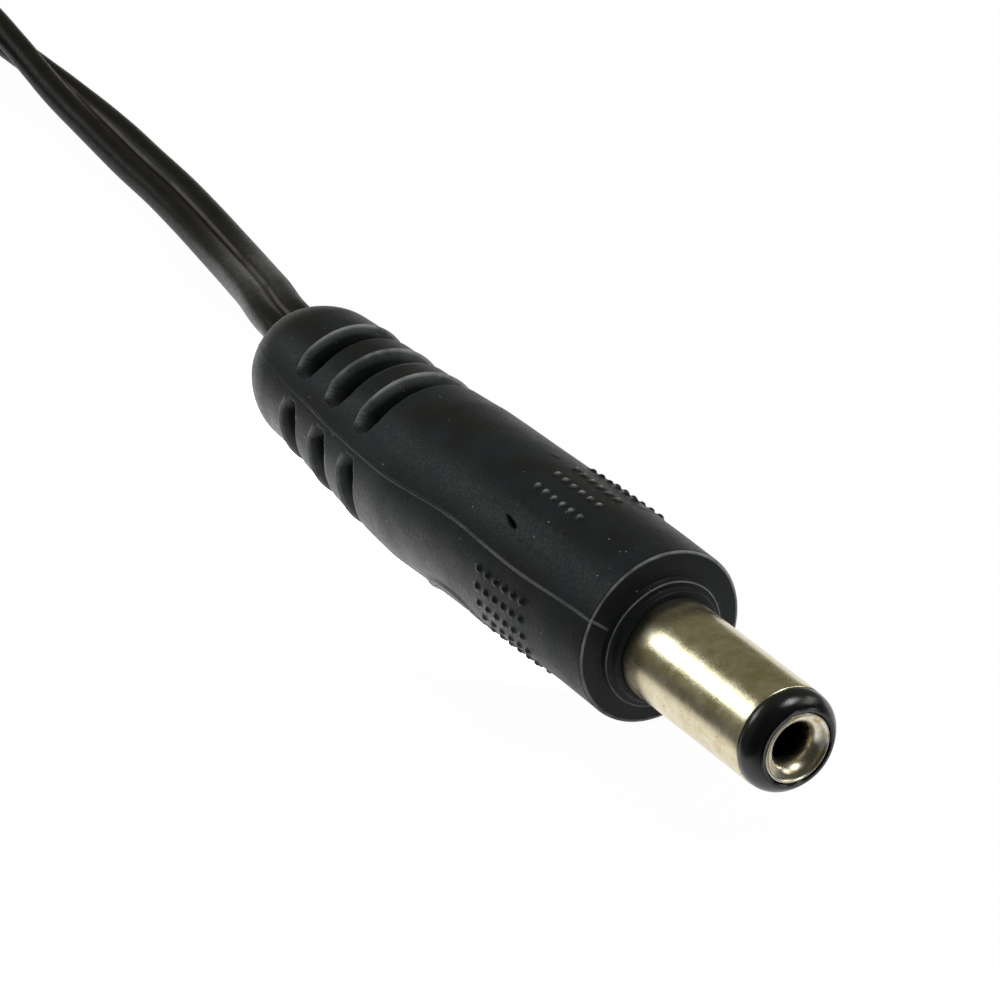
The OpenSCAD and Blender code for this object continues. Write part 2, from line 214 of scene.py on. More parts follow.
def catmull_rom(points, step):
    """A smooth line through points, with a point about every step."""
    points = np.array(points, float)
    padded = np.vstack([2 * points[0] - points[1], points, 2 * points[-1] - points[-2]])
    line = []
    for a, b, c, d in zip(padded, padded[1:], padded[2:], padded[3:]):
        count = max(1, int(round(np.linalg.norm((c - b)[:3]) / step)))
        for t in np.arange(count) / count:
            line.append(0.5 * (2 * b + (c - a) * t + (2 * a - 5 * b + 4 * c - d) * t**2
                               + (3 * b - a - 3 * c + d) * t**3))
    line.append(points[-1])
    return np.array(line)


def headings(line):
    """Unit directions along a line of points."""
    along = np.gradient(line, axis=0)
    return along / np.linalg.norm(along, axis=1)[:, None]


def circle(radius, around):
    """Points of a round section."""
    turns = np.linspace(0, 2 * math.pi, around, endpoint=False)
    return [(radius * math.cos(a), radius * math.sin(a)) for a in turns]


def sweep(line, leans, section):
    """Rings of a section along a line. It lies flat at lean 0 and stands on edge at 90 degrees."""
    along = headings(line)
    level = np.cross([0, 0, 1], along)
    level /= np.linalg.norm(level, axis=1)[:, None]
    rise = np.cross(along, level)
    lean = np.radians(leans)[:, None]
    across = np.cos(lean) * level + np.sin(lean) * rise
    thick = np.cos(lean) * rise - np.sin(lean) * level
    s = np.asarray(section, float)
    return line[:, None, :] + s[None, :, :1] * across[:, None, :] + s[None, :, 1:2] * thick[:, None, :]


def add_tube(points, faces, rings):
    """Adds a closed tube through rings of points to the points and faces of a piece."""
    count, around = rings.shape[:2]
    first = len(points)
    points.extend(rings.reshape(-1, 3))
    faces.extend(face[::-1] for face in grid_faces(count, around, first=first))
    faces.append(tuple(range(first, first + around))[::-1])
    faces.append(tuple(range(first + (count - 1) * around, first + count * around)))


def tube_piece(name, rings, material_slot):
    """A piece that is one closed tube through rings of points."""
    points, faces = [], []
    add_tube(points, faces, rings)
    return add_mesh(name, points, faces, material_slot)


def twin_section():
    """Figure-of-eight outline of the twin lead, and how deep each of its points lies in the groove."""
    outline, groove = [], []
    lobe_end = 180 - math.degrees(math.asin(WEB_HALF / WIRE_R))
    for side in (1, -1):
        for a in np.radians(np.linspace(-lobe_end, lobe_end, 17)):
            outline.append((side * (WIRE_R + WIRE_R * math.cos(a)), side * WIRE_R * math.sin(a)))
        outline.append((0, side * (WEB_HALF - 0.02 * MM)))
    for across, _ in outline:
        groove.append(1 - float(smoothstep(0.06 * MM, 0.3 * MM, abs(across))))
    return outline, groove


def add_lead():
    """The flat twin lead, from inside the plug through the hank to where its wires split."""
    route = ROUTE + hank_turns() + [(HANK_X + x, HANK_Y + y, LEAD_Z, 90) for x, y in TAIL]
    line = catmull_rom(route, RING_STEP / MM)
    outline, groove = twin_section()
    rings = sweep(line[:, :3] * MM, line[:, 3], outline)
    lead = tube_piece("lead", rings, "lead_pvc")
    set_attribute(lead, "groove", np.tile(groove, len(rings)))
    return lead, line[:, :3] * MM


def add_split_wire(name, points):
    """One of the two wires past the end of the twin lead."""
    line = catmull_rom([(HANK_X + x, HANK_Y + y, z) for x, y, z in points], RING_STEP / MM) * MM
    rings = sweep(line, np.zeros(len(line)), circle(WIRE_R, 20))
    return tube_piece(name, rings, "lead_pvc"), line


def add_tinned_end(name, line, strands=7, twists=1.5):
    """Seven tinned strands twisted together, that go on from the end of a split wire."""
    start = line[-1]
    along = line[-1] - line[-2]
    along /= np.linalg.norm(along)
    side = np.cross([0, 0, 1], along)
    side /= np.linalg.norm(side)
    up = np.cross(along, side)
    strand_r = CORE_R / 3
    points, faces = [], []
    steps = 30
    for k in range(strands):
        offset = 0 if k == 0 else CORE_R - strand_r
        middle = []
        for i in range(steps + 1):
            t = i / steps
            a = 2 * math.pi * (twists * t + k / (strands - 1))
            short = 1 - 0.03 * (k % 3) * t
            middle.append(start + along * TIN_LENGTH * MM * t * short
                          + offset * (side * math.cos(a) + up * math.sin(a)))
        add_tube(points, faces, sweep(np.array(middle), np.zeros(steps + 1), circle(strand_r, 8)))
    return add_mesh(name, points, faces, "tinned_copper")


lead, lead_line = add_lead()
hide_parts("cord", "cord_hank", "cord_tail")
wire_negative, line_negative = add_split_wire("split_wire_negative", LOWER_WIRE)
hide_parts("tail_leg_negative")
wire_positive, line_positive = add_split_wire("split_wire_positive", UPPER_WIRE)
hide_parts("tail_leg_positive")
tin_negative = add_tinned_end("tinned_strands_negative", line_negative)
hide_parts("tinned_end_negative")
tin_positive = add_tinned_end("tinned_strands_positive", line_positive)
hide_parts("tinned_end_positive")

# ---------------------------------------------------------------- the tie round the hank

TIE_WIDTH = 3.5 * MM
TIE_THICK = 0.3 * MM
TWIST_LENGTH = 9.0 * MM
TWIST_R = 0.75 * MM
TWIST_Y = 2.0 * MM


def add_tie():
    """A plastic coated wire tie: a flat band round both runs, and its two ends twisted on top."""
    half_y = (OUTER_FOLD_R * MM + WIRE_R) + TIE_THICK / 2
    half_z = LEAD_WIDTH / 2 + TIE_THICK / 2
    corner = 0.5 * MM
    loop = []
    for cy, cz, start in ((1, 1, 0), (-1, 1, 90), (-1, -1, 180), (1, -1, 270)):
        for a in np.radians(np.linspace(start, start + 90, 9)):
            loop.append((cy * (half_y - corner) + corner * math.cos(a),
                         cz * (half_z - corner) + corner * math.sin(a)))
    centre = Vector((HANK_X, HANK_Y, LEAD_Z)) * MM
    band = []
    rim = TIE_THICK / 2
    for a in np.radians(np.linspace(-90, 90, 7)):
        band.append((TIE_WIDTH / 2 - rim + rim * math.cos(a), rim * math.sin(a)))
    for x, bead in ((0.35, 0), (0.12, 0), (0, 1), (-0.12, 0), (-0.35, 0)):
        band.append((TIE_WIDTH * x, rim * (1 + 0.25 * bead)))
    for a in np.radians(np.linspace(90, 270, 7)):
        band.append((-TIE_WIDTH / 2 + rim + rim * math.cos(a), rim * math.sin(a)))
    points, around = [], len(band)
    count = len(loop)
    for i, (y, z) in enumerate(loop):
        before, after = loop[i - 1], loop[(i + 1) % count]
        ty, tz = after[0] - before[0], after[1] - before[1]
        size = math.hypot(ty, tz)
        ny, nz = tz / size, -ty / size
        for bx, out in band:
            points.append((centre.x + bx, centre.y + y + ny * out, centre.z + z + nz * out))
    faces = grid_faces(count, around, closed_rings=True)
    add_twist(points, faces, centre, half_z)
    tie = add_mesh("tie_wrap", points, faces, "tie_coat")
    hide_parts("hank_tie")
    return tie


def add_twist(points, faces, centre, half_z):
    """Adds the two coated ends, wound round each other and laid along the top of the band."""
    strand_r = TWIST_R * 0.5
    reach = TWIST_R - strand_r
    turns, steps = 4.0, 96
    sunk = 0.13 * MM
    inset = 0.4 * MM
    base_z = centre.z + half_z + TIE_THICK / 2 + TWIST_R - sunk
    for k in range(2):
        middle = []
        for i in range(steps + 1):
            t = i / steps
            a = 2 * math.pi * turns * t + math.pi * k
            middle.append((centre.x + reach * math.cos(a),
                           centre.y + TWIST_Y + inset + (TWIST_LENGTH - 2 * inset) * t,
                           base_z + reach * math.sin(a)))
        add_tube(points, faces, sweep(np.array(middle), np.zeros(steps + 1), circle(strand_r, 10)))


tie = add_tie()

# ---------------------------------------------------------------- the overmould

SEAM_ROLL = math.radians(27)
BODY_R = 4.7 * MM
FACE_X = -0.8 * MM
BODY_BACK = -34.6 * MM
TAPER_X = BODY_BACK + 15.1 * MM
DOME_X = BODY_BACK + 2.6 * MM
RELIEF_R = 3.85 * MM
END_R = 3.0 * MM
BEVEL = 0.11 * MM
HOLE_R = 2.5 * MM
FLANGE_R = 3.05 * MM
FLANGE_FRONT = -0.3 * MM
FLANGE_BACK = -1.3 * MM
INNER_R = 3.6 * MM
INNER_TAPER_X = -16 * MM
INNER_END_R = 2.4 * MM
SPLIT_X = -20 * MM

# Front face, collar and its lower step, from the outside in: radius and x in millimetres
FRONT = [(4.50, -0.80), (4.3, -0.785), (3.9, -0.775), (3.56, -0.77), (3.48, -0.74), (3.45, -0.68),
         (3.44, -0.47), (3.40, -0.42), (3.34, -0.40), (3.2, -0.39), (3.12, -0.37), (3.09, -0.30),
         (3.07, -0.08), (3.03, -0.02), (2.97, 0.0), (2.86, 0.01), (2.80, 0.02)]
FACE_END = 3.5
COLLAR_FOOT = 3.6
# Radius of the collar's lip, along which a light line is painted as a highlight
COLLAR_HIGHLIGHT_R = 3.40
FRONT_FLASH_H = 0.05 * MM

SLOT_X = [DOME_X + (2.65 + 3.15 * i) * MM for i in range(3)]
SLOT_HALF = 0.575 * MM
SLOT_FLOOR = 2.65 * MM
SLOT_ROUND = 0.17 * MM
FRONT_ROUND = 0.4 * MM
LIP_OFFSET = 0.17 * MM
LIP_HALF = 0.065 * MM
LIP_H = 0.07 * MM
RIB_HALF = 0.65 * MM
RIB_LIFT = 0.2 * MM

DOT_PITCH = 0.78 * MM
DOT_X = [FACE_X - 7.3 * MM + (i - 2.5) * DOT_PITCH for i in range(6)]
DOT_R = 0.23 * MM
DOT_H = 0.14 * MM
ROW_SLANT = -0.9 * MM
PAD_FROM = math.radians(93)
PAD_TO = math.radians(165)
PAD_H = 0.05 * MM
# Rows round the upper half whose dot tips get a painted highlight
HIGHLIGHT_ROWS = (math.radians(45), math.radians(85))

# Rows of dots round each half, and in the upper one how far from the seam, in degrees, they are faint
UPPER_ROWS = [math.radians(90 + 16 * (i - 4.5)) for i in range(10)]
LOWER_ROWS = [math.radians(270 + 12.5 * (i - 6)) for i in range(13)]
FAINT_TO, FULL_FROM = 34, 48
STRAY_DOT = (-12.3 * MM, math.radians(80.5))

RING_X = FACE_X - 12.8 * MM
RING_TURN = math.radians(270)
RING_R = 3.2 * MM
RING_WIDTH = 0.35 * MM
RING_H = 0.1 * MM

NICK_X = FACE_X - 8.6 * MM
NICK_TURN = math.radians(22)
NICK_LEAN = math.radians(-14)
NICK_HALF_LENGTH = 0.72 * MM
NICK_HALF_WIDTH = 0.12 * MM
NICK_DEPTH = 0.25 * MM

FLASH_H = 0.055 * MM
FLASH_HALF = 0.1 * MM


def clustered(low, high, coarse, clusters):
    """Places from low to high, a coarse step apart.

    They lie closer inside each cluster, which is (middle, half of its length, step).
    """
    places = list(np.arange(low, high, coarse)) + [high]
    for middle, half, step in clusters:
        places = [p for p in places if abs(p - middle) > half]
        count = max(2, int(round(2 * half / step)))
        places.extend(middle - half + 2 * half * i / count for i in range(count + 1))
    places = sorted(p for p in places if low <= p <= high)
    kept = [places[0]]
    for p in places[1:]:
        if p - kept[-1] > 0.25 * min([coarse] + [c[2] for c in clusters]):
            kept.append(p)
    return np.array(kept)


def outer_stations():
    """(radius, x) stations of the outer skin from the rear end to the front edge."""
    dots = (0.5 * (DOT_X[0] + DOT_X[-1]), 2.35 * MM, 0.1 * MM)
    ring = [(RING_X + side * RING_R, 0.5 * MM, 0.1 * MM) for side in (-1, 1)]
    slots = [(x, SLOT_HALF + FRONT_ROUND, 0.075 * MM) for x in SLOT_X]
    nick = (NICK_X, 0.8 * MM, 0.085 * MM)
    front = (FACE_X, 0.15 * MM, 0.03 * MM)
    return clustered(BODY_BACK, FACE_X, 0.3 * MM, ring + [nick, dots] + slots + [front])


def turn_stations():
    """Angles round the skin, closer together at the seam, the ribs and the rows of dots."""
    rows = [(a, math.radians(3.2), math.radians(1.0)) for a in UPPER_ROWS + LOWER_ROWS]
    seams = [(a, math.radians(2.0), math.radians(0.4)) for a in (0, math.pi, 2 * math.pi)]
    upper = math.asin((RIB_LIFT + RIB_HALF) / RELIEF_R)
    lower = math.asin((RIB_HALF - RIB_LIFT) / RELIEF_R)
    ribs = [(a, math.radians(4.0), math.radians(0.75))
            for a in (upper, math.pi - upper, math.pi + lower, 2 * math.pi - lower)]
    nick = (NICK_TURN, math.radians(4.5), math.radians(0.5))
    turns = clustered(0, 2 * math.pi, math.radians(2.2), rows + ribs + seams + [nick])
    return turns[:-1]


def skin_radius(x):
    """Radius of the plain skin: domed rear end, taper and cylinder."""
    u = np.clip((DOME_X - x) / (DOME_X - BODY_BACK), 0, 1)
    dome = END_R + (RELIEF_R - END_R) * (1 - u**2)
    taper = RELIEF_R + (BODY_R - RELIEF_R) * np.clip((x - DOME_X) / (TAPER_X - DOME_X), 0, 1)
    return np.where(x < DOME_X, dome, taper)


def turn_gap(turn, middle):
    """Signed angle from middle to turn, the short way round."""
    return (turn - middle + math.pi) % (2 * math.pi) - math.pi


def add_slots(x, turn, radius):
    """Cuts the three slots of each half, narrower towards the ribs, and marks their rear lips.

    Gives the cut radius, how deep each place lies in a slot, and how much it is a rear lip, which is
    raised and also painted lighter as a highlight.
    """
    upright = np.abs(np.sin(turn) * radius - RIB_LIFT)
    in_half = smoothstep(RIB_HALF - 0.05 * MM, RIB_HALF + 0.4 * MM, upright)
    half_width = SLOT_HALF * (0.5 + 0.5 * smoothstep(RIB_HALF, RIB_HALF + 1.1 * MM, upright))
    cut = np.zeros_like(radius)
    lip = np.zeros_like(radius)
    for slot_x in SLOT_X:
        side = half_width - np.abs(x - slot_x)
        rounded = np.where(x > slot_x, smoothstep(-FRONT_ROUND, SLOT_ROUND, side),
                           smoothstep(-SLOT_ROUND, SLOT_ROUND, side))
        cut = np.maximum(cut, in_half * rounded)
        bead = np.exp(-((side + LIP_OFFSET) / LIP_HALF) ** 2) * in_half
        lip = np.maximum(lip, bead * (x < slot_x))
    return radius + LIP_H * lip + (SLOT_FLOOR - radius) * cut, cut, lip


def add_dots(x, turn, radius):
    """Raised grip dots, and how much each place is the tip of one that is painted lighter as a highlight.

    The rows of the upper half are faint beside the seam, and slant backwards the higher they stand.
    """
    rise, tip = np.zeros_like(radius), np.zeros_like(radius)
    for rows in (UPPER_ROWS, LOWER_ROWS):
        for row in rows:
            upper = row < math.pi
            beside_seam = math.degrees(min(row, abs(math.pi - row)))
            fullness = 0.15 + 0.85 * float(smoothstep(FAINT_TO, FULL_FROM, beside_seam)) if upper else 1.0
            height = DOT_H * fullness
            slant = ROW_SLANT * (row - UPPER_ROWS[2]) if upper and row < math.radians(100) else 0.0
            # Painted highlight: the dot tips in these rows are marked to be painted lighter
            rubbed = float(HIGHLIGHT_ROWS[0] < row < HIGHLIGHT_ROWS[1])
            sideways = turn_gap(turn, row) * radius
            for dot_x in DOT_X:
                away = np.hypot(x - dot_x - slant, sideways)
                rise = np.maximum(rise, height * (1 - smoothstep(0.35 * DOT_R, 1.15 * DOT_R, away)))
                tip = np.maximum(tip, rubbed * (1 - smoothstep(0.3 * DOT_R, 0.75 * DOT_R, away)))
    stray = np.hypot(x - STRAY_DOT[0], turn_gap(turn, STRAY_DOT[1]) * radius)
    rise = np.maximum(rise, 0.6 * DOT_H * (1 - smoothstep(0.3 * DOT_R, 0.9 * DOT_R, stray)))
    # The stray dot's tip gets a painted highlight as well
    tip = np.maximum(tip, 1 - smoothstep(0.2 * DOT_R, 0.6 * DOT_R, stray))
    return rise, tip


def add_pad(x, turn):
    """Thin raised pad under the highest rows of dots."""
    ends = smoothstep(DOT_X[0] - 0.5 * MM, DOT_X[0] - 0.25 * MM, x)
    ends = ends * smoothstep(DOT_X[-1] + 0.5 * MM, DOT_X[-1] + 0.25 * MM, x)
    edge = math.radians(1.5)
    sides = smoothstep(PAD_FROM - edge, PAD_FROM + edge, turn)
    sides = sides * smoothstep(PAD_TO + edge, PAD_TO - edge, turn)
    return PAD_H * ends * sides


def add_ring(x, turn, radius):
    """Rim of the plain ring on the lower half."""
    away = np.hypot(x - RING_X, turn_gap(turn, RING_TURN) * radius)
    middle = RING_R - RING_WIDTH / 2
    return RING_H * (1 - smoothstep(0.25 * RING_WIDTH, 0.75 * RING_WIDTH, np.abs(away - middle)))


def add_nick(x, turn, radius):
    """How deep each place lies in a short slanting cut beside the seam, from 0 to 1."""
    along, across = x - NICK_X, turn_gap(turn, NICK_TURN) * radius
    length = along * math.cos(NICK_LEAN) + across * math.sin(NICK_LEAN)
    width = across * math.cos(NICK_LEAN) - along * math.sin(NICK_LEAN)
    half = NICK_HALF_WIDTH * smoothstep(-NICK_HALF_LENGTH, 0.2 * MM, length)
    half = half * smoothstep(NICK_HALF_LENGTH, 0.45 * NICK_HALF_LENGTH, length)
    return smoothstep(0.03 * MM, -0.03 * MM, np.abs(width) - half) * (half > 0.01 * MM)


def flash(turn, radius, height):
    """Thin raised line where the two halves of the mould met."""
    near = np.minimum(np.abs(turn_gap(turn, 0)), np.abs(turn_gap(turn, math.pi))) * radius
    return height * (1 - smoothstep(0.3 * FLASH_HALF, FLASH_HALF, near))


def waver(x, turn):
    """Slow unevenness of the moulded skin."""
    return (0.012 * MM * np.sin(x / MM * 0.9 + 2 * np.sin(turn)) * np.sin(2 * turn + 0.4)
            + 0.006 * MM * np.sin(x / MM * 2.3 + 1.3) * np.sin(5 * turn))


def sag(x):
    """How far the soft moulding stands off the barrel's axis, up at its front and down at its rear."""
    front = 0.24 * float(smoothstep(-14 * MM, -4 * MM, x))
    middle = -0.28 * float(smoothstep(-12 * MM, -21 * MM, x))
    rear = 0.42 * float(smoothstep(-23 * MM, -32 * MM, x))
    return (front + middle + rear) * MM


def seam_waver(x):
    """How far the parting seam wanders round the plug, before it curls up at the rear end."""
    x = float(np.mean(x))
    wander = 1.5 * math.sin((x / MM + 4) * 0.5) - 3 * math.exp(-(((x / MM + 25.5) / 3.5) ** 2))
    return math.radians(wander + 7 * float(smoothstep(-29 * MM, BODY_BACK, x)))


def ring_of(turn, radius, x, centre_y=0.0, centre_z=0.0):
    """Points of one ring of the skin."""
    a = turn + SEAM_ROLL + seam_waver(x)
    return np.stack([np.broadcast_to(x, turn.shape), centre_y - radius * np.cos(a),
                     centre_z + radius * np.sin(a)], axis=1)


def passage_radius(turn):
    """Distance from the passage's middle to its wall, round the figure-of-eight of the lead."""
    a = turn + SEAM_ROLL
    gap = 0.01 * MM
    wall = WIRE_R + gap
    lobe = WIRE_R * np.abs(np.cos(a)) + np.sqrt(np.maximum(wall**2 - (WIRE_R * np.sin(a)) ** 2, 0))
    return np.maximum(lobe, WEB_HALF + gap)


def passage_centre(x):
    """Middle of the lead's straight passage at one place along the plug, as y and z."""
    share = (SPLIT_X - x) / (16 * MM)
    return 1.0 * MM * share, 0.4 * MM * share


def add_overmould():
    """The soft moulding as one closed skin, with marks for painted shade in its slots and nick, for
    lighter edges that are partly wear and partly painted highlight, and for painted highlights on dot
    tips.
    """
    turn = turn_stations()
    rings = []
    marks = {"hollow": [], "edge": [], "tip": []}

    def put(ring, **here):
        rings.append(ring)
        for name, values in marks.items():
            values.append(np.broadcast_to(here.get(name, 0.0), turn.shape))

    # Rear face round the lead, from the passage outwards: share of the way out, and x in millimetres
    passage = passage_radius(turn + seam_waver(BODY_BACK))
    end_y, end_z = passage_centre(BODY_BACK)
    rounding = 0.12 * MM
    for share, x in ((0.0, 0.35), (0.0, 0.1), (0.02, -0.08), (0.08, -0.12), (0.18, -0.05),
                     (0.4, 0.0), (0.7, -0.02), (0.9, -0.04)):
        inward = 1 - share
        radius = passage + (END_R - rounding - passage) * share
        put(ring_of(turn, radius, BODY_BACK + x * MM + rounding, end_y * inward,
                    end_z * inward + sag(BODY_BACK) * share), edge=float(0 < share < 0.2))
    # Outer skin
    for x in outer_stations():
        here = np.full(turn.shape, x)
        base = skin_radius(here)
        radius, cut, lip_highlight = add_slots(here, turn, base)
        # Painted shade: places inside a slot are marked to be painted near black and less shiny
        hollow, tip, ring = cut, 0.0, 0.0
        if x > TAPER_X - 1 * MM:
            rise, tip = add_dots(here, turn, base)
            ring = add_ring(here, turn, base)
            radius = radius + rise + ring + add_pad(here, turn)
            nick = add_nick(here, turn, base)
            radius = radius - NICK_DEPTH * nick
            # The nick is painted near black as shade too
            hollow = nick
        line = flash(turn, base, FLASH_H * (0.2 + 0.8 * float(smoothstep(DOME_X, TAPER_X, x))))
        radius = radius + line + waver(x, turn) * (1 - cut)
        into_bevel = max(0.0, x - (FACE_X - BEVEL))
        radius = radius - (BEVEL - math.sqrt(max(BEVEL**2 - into_bevel**2, 0)))
        # The edge mark paints a lighter colour: wear along the seam, painted highlights on the slots'
        # rear lips and the ring's rim, and both on the front rim
        rubbed_seam = 0.3 * line / FLASH_H * float(smoothstep(-16 * MM, -10 * MM, x))
        front_rim_wear_and_highlight = 0.8 * float(into_bevel > 0.06 * MM)
        edge = np.maximum(lip_highlight, 0.4 * ring / RING_H)
        edge = np.maximum(edge, np.maximum(rubbed_seam, front_rim_wear_and_highlight))
        put(ring_of(turn, radius, x, 0.0, sag(x)), hollow=hollow, edge=edge, tip=tip)
    # Front face, collar and its lower step
    for radius, x in FRONT:
        on_face = float(radius > FACE_END)
        line = flash(turn, np.full(turn.shape, radius * MM), FRONT_FLASH_H)
        wobble = 0.012 * MM * np.sin(3 * turn + radius) + 0.008 * MM * np.sin(7 * turn)
        # A painted highlight along the collar's lip, and wear on the seam across the face
        edge = np.maximum(0.6 * float(radius == COLLAR_HIGHLIGHT_R), 0.4 * line / FRONT_FLASH_H * on_face)
        lift = sag(FACE_X) * float(smoothstep(FACE_END, 4.5, radius))
        uneven = radius * MM + wobble * (radius < COLLAR_FOOT)
        put(ring_of(turn, uneven, x * MM + line * on_face, 0.0, lift), edge=edge)
    # Inside: hole, flange recess, room for the inner mould, and the lead's passage
    for radius, x in ((HOLE_R, 0.0), (HOLE_R, FLANGE_FRONT), (FLANGE_R, FLANGE_FRONT),
                      (FLANGE_R, FLANGE_BACK), (INNER_R, FLANGE_BACK), (INNER_R, INNER_TAPER_X),
                      (INNER_END_R, SPLIT_X)):
        put(ring_of(turn, np.full(turn.shape, radius), x))
    for x in (SPLIT_X, -24 * MM, -28 * MM, -32 * MM):
        centre_y, centre_z = passage_centre(x)
        put(ring_of(turn, passage_radius(turn + seam_waver(x)), x, centre_y, centre_z))
    points = np.vstack(rings)
    skin = add_mesh("overmould_skin", points, grid_faces(len(rings), len(turn), closed_rings=True),
                    "overmould_pvc")
    for name, values in marks.items():
        set_attribute(skin, name, np.concatenate(values))
    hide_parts("overmould")
    return skin


skin = add_overmould()

# ---------------------------------------------------------------- barrel, nose and contact

BARREL_R = 2.75 * MM
BORE_R = 2.3 * MM
BARREL_END = 9.8 * MM
TIP_X = 11.0 * MM
NOSE_R = 2.72 * MM
RIM_R = 1.8 * MM
SOCKET_R = 1.05 * MM
CONTACT_R = 1.35 * MM
FUNNEL_X = 9.9 * MM
SLIP = 0.02 * MM
AXIS_R = 0.0002 * MM
NECK_R = 2.6 * MM
NECK_BACK = -4.4 * MM
BUSH_BACK = -3.6 * MM


def add_barrel():
    """The plated sleeve, with its hidden groove, flange and swaged neck."""
    edge = 0.09 * MM
    outline = [(BORE_R, NECK_BACK), (NECK_R + 0.25 * MM, NECK_BACK),
               (NECK_R + 0.25 * MM, NECK_BACK + 0.2 * MM), (NECK_R, NECK_BACK + 0.2 * MM),
               (NECK_R, FLANGE_BACK), (FLANGE_R, FLANGE_BACK), (FLANGE_R, FLANGE_FRONT),
               (HOLE_R, FLANGE_FRONT), (HOLE_R, 0.0), (BARREL_R - 0.02 * MM, 0.0), (BARREL_R, 0.02 * MM)]
    outline += [(BARREL_R, x * MM) for x in np.linspace(0.1, 9.4, 40)]
    outline += arc(BARREL_R - edge, BARREL_END - edge, edge, 0, 90, 6)
    outline += [(BORE_R + 0.03 * MM, BARREL_END), (BORE_R, BARREL_END - 0.03 * MM), (BORE_R, 0.0)]
    barrel = lathe("barrel_sleeve", outline, "barrel_plate", around=320)
    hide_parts("outer_sleeve")
    return barrel


def add_nose():
    """The black insulator, whose round nose stands out of the barrel."""
    outer = 1.0 * MM
    inner = 0.28 * MM
    seat = RIM_R + 0.12 * MM
    outline = [(0.62 * MM, BUSH_BACK), (BORE_R - SLIP, BUSH_BACK),
               (BORE_R - SLIP, BARREL_END - 0.02 * MM), (NOSE_R - 0.05 * MM, BARREL_END - 0.02 * MM),
               (NOSE_R, BARREL_END + 0.04 * MM)]
    outline += arc(NOSE_R - outer, TIP_X - outer, outer, 0, 78, 22)
    outline += arc(seat + inner, TIP_X - 0.02 * MM - inner, inner, 96, 180, 8)
    outline += [(seat, TIP_X - 0.4 * MM), (CONTACT_R + SLIP, FUNNEL_X - 0.1 * MM),
                (CONTACT_R + SLIP, -0.6 * MM), (0.62 * MM, -0.6 * MM)]
    nose = lathe("nose_insulator", outline, "nose_plastic")
    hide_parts("insulating_bush")
    return nose


def add_contact():
    """The centre contact: riveted tail, tube, and a flared mouth with a rolled rim."""
    lug_back = -4.5 * MM
    head_r, tail_r = 0.95 * MM, 0.6 * MM
    rim = 0.055 * MM
    outline = [(AXIS_R, lug_back - 0.35 * MM), (head_r - 0.1 * MM, lug_back - 0.35 * MM),
               (head_r, lug_back - 0.22 * MM), (head_r, lug_back), (tail_r, lug_back),
               (tail_r, -0.6 * MM), (CONTACT_R, -0.6 * MM), (CONTACT_R, FUNNEL_X - 0.12 * MM),
               (RIM_R + 0.06 * MM, TIP_X - 0.42 * MM)]
    outline += arc(RIM_R + 0.02 * MM, TIP_X - 0.03 * MM - rim, rim, 0, 180, 8)
    for share in np.linspace(0.97, 0, 18):
        flare = 1 - math.sqrt(1 - share**2)
        outline.append((SOCKET_R + (RIM_R - rim - SOCKET_R) * flare,
                        FUNNEL_X + (TIP_X - 0.09 * MM - FUNNEL_X) * share))
    outline += [(SOCKET_R, 9.5 * MM), (SOCKET_R, 6.0 * MM), (SOCKET_R, 0.3 * MM), (AXIS_R, 0.3 * MM)]
    contact = lathe("contact_tube", outline, "contact_plate")
    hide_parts("centre_contact")
    return contact


barrel = add_barrel()
nose = add_nose()
contact = add_contact()

# ---------------------------------------------------------------- materials


def ramp(tree, value, low, high, at_low, at_high, interpolation="LINEAR"):
    """A number that goes from at_low to at_high while the value goes from low to high."""
    made = tree.nodes.new("ShaderNodeMapRange")
    made.interpolation_type = interpolation
    numbers = {"From Min": low, "From Max": high, "To Min": at_low, "To Max": at_high}
    for socket, number in numbers.items():
        made.inputs[socket].default_value = number
    tree.links.new(value, made.inputs["Value"])
    return made.outputs["Result"]


def maths(tree, operation, a, b):
    """One operation on two numbers or sockets."""
    made = tree.nodes.new("ShaderNodeMath")
    made.operation = operation
    for socket, value in zip(made.inputs, (a, b)):
        if isinstance(value, (int, float)):
            socket.default_value = value
        else:
            tree.links.new(value, socket)
    return made.outputs[0]


def axes(tree, coordinates):
    """The X, Y and Z of texture coordinates."""
    split = tree.nodes.new("ShaderNodeSeparateXYZ")
    tree.links.new(tree.nodes.new("ShaderNodeTexCoord").outputs[coordinates], split.inputs["Vector"])
    return split.outputs


